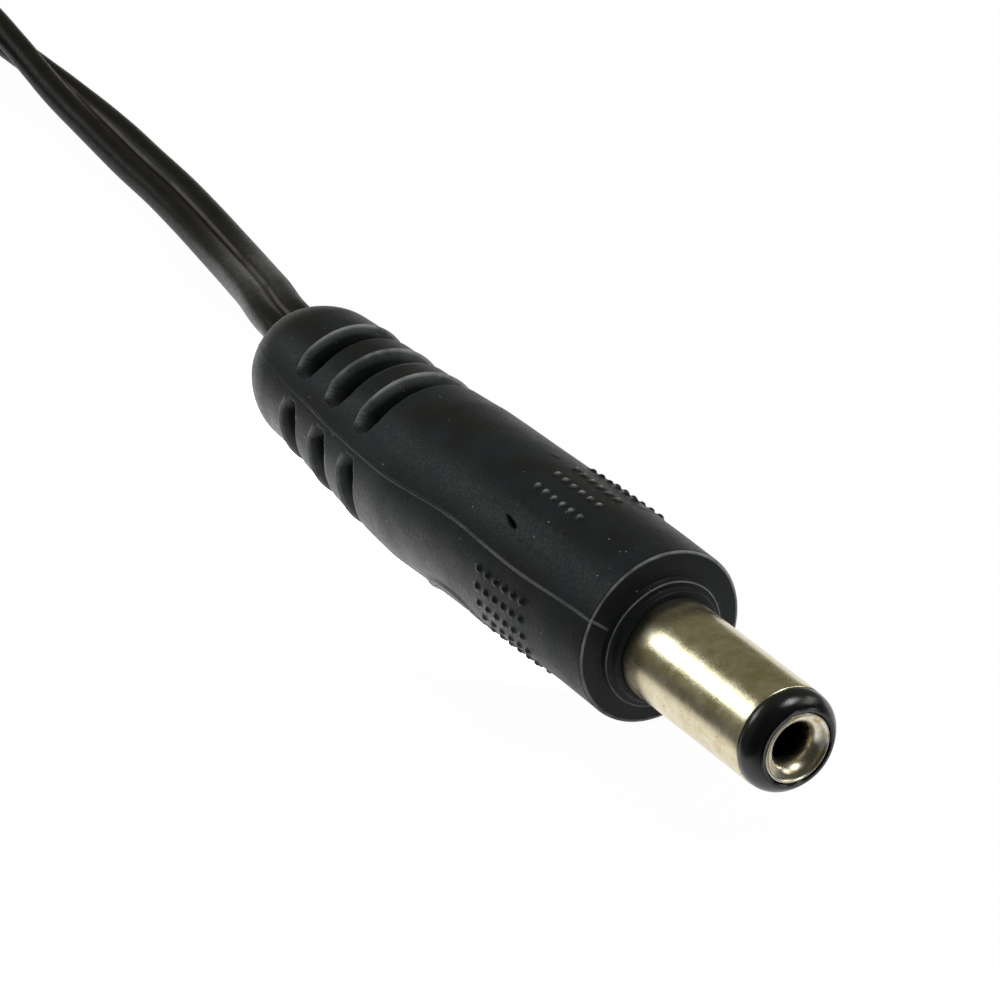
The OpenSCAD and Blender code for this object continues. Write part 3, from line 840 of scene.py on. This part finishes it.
class Paint:
    """A material under construction: a Principled shader and the nodes that feed it."""

    def __init__(self, name, colour, roughness, metallic=0.0, **sockets):
        self.material = bpy.data.materials.new(name)
        self.material.use_nodes = True
        self.tree = self.material.node_tree
        self.shader = self.tree.nodes["Principled BSDF"]
        self.shader.inputs["Base Color"].default_value = (*colour, 1)
        self.shader.inputs["Roughness"].default_value = roughness
        self.shader.inputs["Metallic"].default_value = metallic
        for socket, value in sockets.items():
            self.shader.inputs[socket.replace("_", " ")].default_value = value
        self.place = self.tree.nodes.new("ShaderNodeTexCoord").outputs["Object"]

    def node(self, kind, **settings):
        """A new node of a kind, with its settings."""
        made = self.tree.nodes.new(kind)
        for key, value in settings.items():
            setattr(made, key, value)
        return made

    def link(self, source, target):
        self.tree.links.new(source, target)

    def stretched(self, along, around):
        """Coordinates scaled by one number along the plug and another across it."""
        mapping = self.node("ShaderNodeMapping")
        mapping.inputs["Scale"].default_value = (along, around, around)
        self.link(self.place, mapping.inputs["Vector"])
        return mapping.outputs["Vector"]

    def noise(self, size, detail=4.0, roughness=0.55, vector=None):
        """Noise with features of about that size, in metres."""
        made = self.node("ShaderNodeTexNoise")
        made.inputs["Scale"].default_value = 1 / size
        made.inputs["Detail"].default_value = detail
        made.inputs["Roughness"].default_value = roughness
        self.link(vector or self.place, made.inputs["Vector"])
        return made.outputs["Fac"]

    def specks(self, spacing, size):
        """1 inside small round specks, that lie about that far apart, and 0 elsewhere."""
        cells = self.node("ShaderNodeTexVoronoi")
        cells.inputs["Scale"].default_value = 1 / spacing
        self.link(self.place, cells.inputs["Vector"])
        return self.span(cells.outputs["Distance"], size / spacing, 0.6 * size / spacing)

    def attribute(self, name):
        """A number that set_attribute gave the points."""
        return self.node("ShaderNodeAttribute", attribute_name=name).outputs["Fac"]

    def span(self, value, low, high, to_low=0.0, to_high=1.0):
        """A smooth step of a value, from low to high."""
        return ramp(self.tree, value, low, high, to_low, to_high, "SMOOTHSTEP")

    def maths(self, operation, a, b):
        """One operation on two numbers or sockets."""
        return maths(self.tree, operation, a, b)

    def mix(self, factor, a, b):
        """A colour between a and b, each a colour or a socket."""
        made = self.node("ShaderNodeMix", data_type="RGBA")
        self.link(factor, made.inputs["Factor"])
        for socket, value in ((made.inputs[6], a), (made.inputs[7], b)):
            if isinstance(value, tuple):
                socket.default_value = (*value, 1)
            else:
                self.link(value, socket)
        return made.outputs[2]

    def colour(self, source):
        self.link(source, self.shader.inputs["Base Color"])

    def roughness(self, source):
        self.link(source, self.shader.inputs["Roughness"])

    def bump(self, *layers):
        """Adds bump layers, each a (height, depth in metres)."""
        normal = None
        for height, depth in layers:
            made = self.node("ShaderNodeBump")
            made.inputs["Distance"].default_value = depth
            self.link(height, made.inputs["Height"])
            if normal is not None:
                self.link(normal, made.inputs["Normal"])
            normal = made.outputs["Normal"]
        self.link(normal, self.shader.inputs["Normal"])


def assign(piece, paint):
    piece.data.materials.clear()
    piece.data.materials.append(paint.material)


def overmould_paint():
    """Satin black PVC: fine moulded grain, pale dust, lighter edges that are partly wear and partly
    painted highlight, painted highlights on dot tips, and painted shade in the slots and nick.
    """
    paint = Paint("overmould_pvc", (0.02, 0.023, 0.026), 0.5, Sheen_Weight=0.22, Sheen_Roughness=0.35)
    hollow = paint.attribute("hollow")
    # Painted shade: the slots and the nick reflect less
    paint.link(paint.span(hollow, 0.15, 0.85, 0.17, 0.01), paint.shader.inputs["Specular IOR Level"])
    blotch = paint.noise(2.5 * MM, 3)
    grain = paint.noise(0.16 * MM, 3)
    base = paint.mix(paint.span(blotch, 0.35, 0.65), (0.0125, 0.0145, 0.0145), (0.017, 0.021, 0.026))
    unevenness = paint.span(paint.noise(1.6 * MM, 5, 0.6), 0.3, 0.62, 0.35, 1.0)
    # Lighter edges: wear along the seam and rims, and painted highlights on the slots' rear lips, the
    # ring's rim, the collar's lip and the front rim
    worn = paint.maths("MULTIPLY", paint.attribute("edge"), unevenness)
    base = paint.mix(paint.maths("MULTIPLY", worn, 0.8), base, (0.6, 0.63, 0.64))
    dust_area = paint.span(paint.noise(1.6 * MM), 0.48, 0.64)
    dust = paint.maths("MULTIPLY", paint.specks(0.6 * MM, 0.06 * MM), dust_area)
    base = paint.mix(dust, base, (0.36, 0.37, 0.35))
    # Painted highlights on the marked dot tips, patchy
    patches = paint.span(paint.noise(0.8 * MM), 0.25, 0.6, 0.35, 1.0)
    rubbed = paint.maths("MULTIPLY", paint.attribute("tip"), patches)
    base = paint.mix(paint.maths("MULTIPLY", rubbed, 0.85), base, (0.42, 0.44, 0.41))
    # Painted shade: the slots and the nick turn near black
    base = paint.mix(paint.span(hollow, 0.3, 0.95), base, (0.003, 0.0035, 0.004))
    paint.colour(base)
    fine_rough = paint.span(grain, 0.3, 0.7, 0.43, 0.55)
    paint.roughness(paint.maths("ADD", fine_rough, paint.span(blotch, 0.3, 0.7, -0.04, 0.05)))
    scratch = paint.noise(0.35 * MM, 2, vector=paint.stretched(0.22, 1.0))
    paint.bump((grain, 0.014 * MM), (paint.noise(0.8 * MM, 2), 0.006 * MM), (scratch, 0.005 * MM))
    return paint


def barrel_paint():
    """Worn nickel plate: warm mottling, pits, fine scratches, and darker, greyer colour at the root
    beside the moulding.
    """
    paint = Paint("barrel_plate", (0.66, 0.62, 0.5), 0.2, metallic=1.0)
    axis = axes(paint.tree, "Object")
    mottle = paint.noise(0.8 * MM, 6, 0.65)
    fine = paint.noise(0.14 * MM, 5, 0.7)
    metal = paint.mix(paint.span(mottle, 0.32, 0.7), (0.66, 0.56, 0.35), (0.82, 0.75, 0.55))
    stain = paint.maths("MULTIPLY", paint.span(fine, 0.52, 0.72), paint.span(mottle, 0.62, 0.38))
    metal = paint.mix(paint.maths("MULTIPLY", stain, 0.7), metal, (0.36, 0.28, 0.13))
    pitted = paint.span(paint.noise(1.1 * MM), 0.45, 0.6)
    pits = paint.maths("MULTIPLY", paint.specks(0.5 * MM, 0.05 * MM), pitted)
    metal = paint.mix(pits, metal, (0.07, 0.055, 0.035))
    # Darker and greyer towards the root beside the moulding, reaching further along at the top
    ragged = paint.maths("MULTIPLY", paint.noise(0.5 * MM, 4, 0.7), 0.7 * MM)
    raised = paint.maths("MULTIPLY", axis["Z"], 0.12)
    edge = paint.maths("SUBTRACT", paint.maths("SUBTRACT", axis["X"], ragged), raised)
    root_dark = paint.span(edge, 0.3 * MM, -0.35 * MM)
    root_grey = paint.span(edge, 1.5 * MM, -0.3 * MM)
    metal = paint.mix(paint.maths("MULTIPLY", root_grey, 0.45), metal, (0.26, 0.25, 0.2))
    paint.colour(paint.mix(paint.maths("MULTIPLY", root_dark, 0.85), metal, (0.1, 0.103, 0.095)))
    worn = paint.maths("ADD", paint.span(mottle, 0.3, 0.7, 0.20, 0.28), paint.span(stain, 0, 1, 0, 0.18))
    paint.roughness(paint.maths("ADD", worn, paint.span(root_grey, 0, 1, 0, 0.2)))
    scratch = paint.noise(0.12 * MM, 3, vector=paint.stretched(0.15, 1.0))
    paint.bump((fine, 0.004 * MM), (scratch, 0.0022 * MM), (pits, -0.015 * MM))
    return paint


def nose_paint():
    """Glossy black plastic with faint rubbing marks."""
    paint = Paint("nose_plastic", (0.006, 0.007, 0.008), 0.24, Specular_IOR_Level=0.6)
    rub = paint.noise(0.5 * MM, 4)
    paint.roughness(paint.span(rub, 0.3, 0.75, 0.2, 0.3))
    dust = paint.maths("MULTIPLY", paint.specks(0.5 * MM, 0.03 * MM), paint.span(rub, 0.55, 0.7))
    paint.colour(paint.mix(dust, (0.006, 0.007, 0.008), (0.25, 0.25, 0.25)))
    paint.bump((paint.noise(0.25 * MM, 2), 0.002 * MM))
    return paint


def contact_paint():
    """Bright plate on the flared mouth, browner where a pin has rubbed, and painted near black down the
    bore as shade.
    """
    paint = Paint("contact_plate", (0.72, 0.68, 0.56), 0.14, metallic=1.0)
    mottle = paint.noise(0.5 * MM, 5, 0.6)
    axis = axes(paint.tree, "Object")
    metal = paint.mix(paint.span(mottle, 0.45, 0.7), (0.82, 0.78, 0.66), (0.62, 0.46, 0.2))
    # Painted shade: the plate turns near black down the bore
    inside = paint.span(axis["X"], FUNNEL_X + 0.1 * MM, FUNNEL_X - 0.5 * MM)
    paint.colour(paint.mix(inside, metal, (0.05, 0.045, 0.035)))
    paint.roughness(paint.span(mottle, 0.3, 0.7, 0.24, 0.34))
    paint.bump((paint.noise(0.1 * MM, 3), 0.0015 * MM))
    return paint


def lead_paint():
    """Brown-black PVC with a soft shine, and a paler line along its groove painted as a highlight."""
    paint = Paint("lead_pvc", (0.02, 0.014, 0.013), 0.42, Specular_IOR_Level=0.13)
    cloud = paint.noise(1.4 * MM, 3)
    base = paint.mix(paint.span(cloud, 0.35, 0.65), (0.012, 0.0105, 0.009), (0.018, 0.0155, 0.013))
    # Painted highlight: a paler line along the lips of the groove between the wires
    lips = paint.maths("MULTIPLY", paint.span(paint.attribute("groove"), 0.15, 0.5),
                       paint.span(paint.attribute("groove"), 1.0, 0.85))
    line = paint.maths("MULTIPLY", lips, paint.span(paint.noise(2.2 * MM), 0.35, 0.6, 0.3, 0.8))
    base = paint.mix(line, base, (0.2, 0.17, 0.15))
    dust = paint.maths("MULTIPLY", paint.specks(0.8 * MM, 0.04 * MM), paint.span(cloud, 0.5, 0.6))
    paint.colour(paint.mix(dust, base, (0.2, 0.19, 0.18)))
    grain = paint.noise(0.2 * MM, 3)
    paint.roughness(paint.span(grain, 0.3, 0.7, 0.36, 0.48))
    paint.bump((grain, 0.006 * MM), (paint.noise(1.1 * MM, 2), 0.02 * MM))
    return paint


def plain_plastic(name, dark, pale, rough, grain_size=0.2 * MM):
    """Moulded plastic or fibre in two close colours, with a fine grain."""
    paint = Paint(name, pale, rough)
    paint.colour(paint.mix(paint.span(paint.noise(0.9 * MM, 4), 0.35, 0.65), dark, pale))
    grain = paint.noise(grain_size, 3)
    paint.roughness(paint.span(grain, 0.3, 0.7, rough - 0.06, rough + 0.08))
    paint.bump((grain, 0.008 * MM))
    return paint


def plain_metal(name, dark, pale, rough, along=0.3):
    """Drawn or stamped metal in two close colours, with fine lines along it."""
    paint = Paint(name, pale, rough, metallic=1.0)
    paint.colour(paint.mix(paint.span(paint.noise(0.6 * MM, 5), 0.35, 0.68), dark, pale))
    lines = paint.noise(0.12 * MM, 3, vector=paint.stretched(along, 1.0))
    paint.roughness(paint.span(lines, 0.3, 0.7, rough - 0.06, rough + 0.08))
    paint.bump((lines, 0.003 * MM))
    return paint


PAINTS = {
    "overmould_pvc": overmould_paint(),
    "inner_pe": plain_plastic("inner_pe", (0.55, 0.53, 0.46), (0.66, 0.64, 0.57), 0.5),
    "barrel_plate": barrel_paint(),
    "nose_plastic": nose_paint(),
    "contact_plate": contact_paint(),
    "fibre": plain_plastic("fibre", (0.16, 0.07, 0.03), (0.26, 0.12, 0.055), 0.6, 0.08 * MM),
    "lug_plate": plain_metal("lug_plate", (0.5, 0.46, 0.36), (0.64, 0.6, 0.48), 0.3),
    "solder": plain_metal("solder", (0.42, 0.43, 0.44), (0.6, 0.61, 0.63), 0.24, 1.0),
    "copper": plain_metal("copper", (0.5, 0.2, 0.1), (0.7, 0.34, 0.18), 0.3, 0.1),
    "lead_pvc": lead_paint(),
    "tie_coat": plain_plastic("tie_coat", (0.012, 0.013, 0.014), (0.022, 0.023, 0.025), 0.34, 0.15 * MM),
    "tinned_copper": plain_metal("tinned_copper", (0.46, 0.46, 0.47), (0.66, 0.67, 0.69), 0.28),
}

for piece in (lead, wire_negative, wire_positive, tin_negative, tin_positive, tie,
              skin, barrel, nose, contact):
    assign(piece, PAINTS[piece["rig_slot"]])
SLOT_OF_NODE = {s["node"]: s["material_slot"] for s in frame["record"]["subparts"]}
for name, node in frame["nodes"].items():
    assign(node, PAINTS[SLOT_OF_NODE[name]])

# ---------------------------------------------------------------- stage and light

FLOOR_Z = min(cad_low[2], min(v.co.z for v in skin.data.vertices))
WHITE_TO_CAMERA = 1.012
SHADOWLESS_SHARE = 0.97
DIM = 0.12

# Where the floor turns from one mirrored brightness to the next: on the near side, and ahead of the plug
DARK_TO_BRIGHT_Y = (-14.0 * MM, -9.0 * MM)
BRIGHT_TO_DARK_X = (12.0 * MM, 20.0 * MM)
# The floor glows brighter to mirrored rays only, as a painted reflection of a bright card on the near
# side, which the body mirrors but not the barrel: behind x = SLANT * y
SLANT = 1.07
CARD_BRIGHT, CARD_FADED = 2.2, 0.3
CARD_SLANTING = (-8.0 * MM, -1.0 * MM)
CARD_NEAR_Y = (-22.0 * MM, -9.0 * MM)
CARD_FAR_Y = (0.0, 5.0 * MM)
ROOM_BEHIND, ROOM_AHEAD = 0.17, 0.04


def floor_paper():
    """Pale paper that looks white, keeps a faint shadow, and to mirrored rays glows darker in some places
    and brighter in one, as painted reflections.
    """
    material = bpy.data.materials.new("floor_paper")
    material.use_nodes = True
    tree = material.node_tree
    paper = tree.nodes["Principled BSDF"]
    paper.inputs["Base Color"].default_value = (0.86, 0.86, 0.85, 1)
    paper.inputs["Roughness"].default_value = 0.9
    paper.inputs["Specular IOR Level"].default_value = 0.1
    ray = tree.nodes.new("ShaderNodeLightPath").outputs
    place = axes(tree, "Object")
    x, y = place["X"], place["Y"]
    near = ramp(tree, y, *DARK_TO_BRIGHT_Y, DIM, 1.0)
    slanting = maths(tree, "SUBTRACT", x, maths(tree, "MULTIPLY", y, SLANT))
    card = ramp(tree, slanting, *CARD_SLANTING, CARD_BRIGHT, DIM)
    card = maths(tree, "MULTIPLY", card, ramp(tree, y, *CARD_NEAR_Y, DIM, 1.0))
    card = maths(tree, "MULTIPLY", card, ramp(tree, y, *CARD_FAR_Y, 1.0, CARD_FADED))
    ahead = ramp(tree, x, *BRIGHT_TO_DARK_X, 1.0, DIM)
    mirrored = maths(tree, "MULTIPLY", maths(tree, "MAXIMUM", near, card), ahead)
    white = maths(tree, "MULTIPLY", ray["Is Camera Ray"], WHITE_TO_CAMERA)
    glow = tree.nodes.new("ShaderNodeEmission")
    tree.links.new(maths(tree, "MAXIMUM", mirrored, white), glow.inputs["Strength"])
    mixer = tree.nodes.new("ShaderNodeMixShader")
    seen = maths(tree, "MULTIPLY", ray["Is Camera Ray"], SHADOWLESS_SHARE)
    tree.links.new(maths(tree, "MAXIMUM", seen, ray["Is Glossy Ray"]), mixer.inputs["Fac"])
    tree.links.new(paper.outputs["BSDF"], mixer.inputs[1])
    tree.links.new(glow.outputs["Emission"], mixer.inputs[2])
    tree.links.new(mixer.outputs["Shader"], tree.nodes["Material Output"].inputs["Surface"])
    return material


def add_floor():
    """A wide floor under the plug."""
    half = 1.5
    corners = [(x, y, FLOOR_Z) for x, y in ((-half, -half), (half, -half), (half, half), (-half, half))]
    mesh = bpy.data.meshes.new("floor")
    mesh.from_pydata(corners, [], [(0, 1, 2, 3)])
    mesh.materials.append(floor_paper())
    floor = bpy.data.objects.new("floor", mesh)
    bpy.context.scene.collection.objects.link(floor)


def add_world():
    """White to the camera, and to everything else a dim olive room, darker ahead of the plug."""
    world = bpy.data.worlds.new("room")
    bpy.context.scene.world = world
    world.use_nodes = True
    tree = world.node_tree
    room = tree.nodes["Background"]
    room.inputs["Color"].default_value = (1.0, 0.99, 0.72, 1)
    ahead = axes(tree, "Generated")["X"]
    tree.links.new(ramp(tree, ahead, -0.1, 0.3, ROOM_BEHIND, ROOM_AHEAD), room.inputs["Strength"])
    white = tree.nodes.new("ShaderNodeBackground")
    white.inputs["Color"].default_value = (1, 1, 1, 1)
    mixer = tree.nodes.new("ShaderNodeMixShader")
    tree.links.new(tree.nodes.new("ShaderNodeLightPath").outputs["Is Camera Ray"], mixer.inputs["Fac"])
    tree.links.new(room.outputs["Background"], mixer.inputs[1])
    tree.links.new(white.outputs["Background"], mixer.inputs[2])
    tree.links.new(mixer.outputs["Shader"], tree.nodes["World Output"].inputs["Surface"])


def add_softbox(name, direction, distance, width, height, radiance, colour=(1, 1, 1)):
    """A rectangular area light that faces the origin from a direction."""
    data = bpy.data.lights.new(name, "AREA")
    data.shape = "RECTANGLE"
    data.size, data.size_y = width, height
    data.energy = radiance * math.pi * width * height
    data.color = colour
    light = bpy.data.objects.new(name, data)
    towards = Vector(direction).normalized()
    light.location = towards * distance
    light.rotation_euler = towards.to_track_quat("Z", "Y").to_euler()
    bpy.context.scene.collection.objects.link(light)


add_floor()
add_world()
add_softbox("key", (-0.726, -0.47, 0.50), 0.5, 0.24, 0.17, 4.2, (0.88, 0.95, 1.0))
add_softbox("top", (0.33, 0.38, 0.86), 0.5, 0.2, 0.2, 7.0)
add_softbox("back", (0.3, 0.8, 0.42), 0.5, 0.30, 0.16, 2.0, (1.0, 1.0, 0.94))
bpy.context.scene.view_settings.view_transform = "Standard"
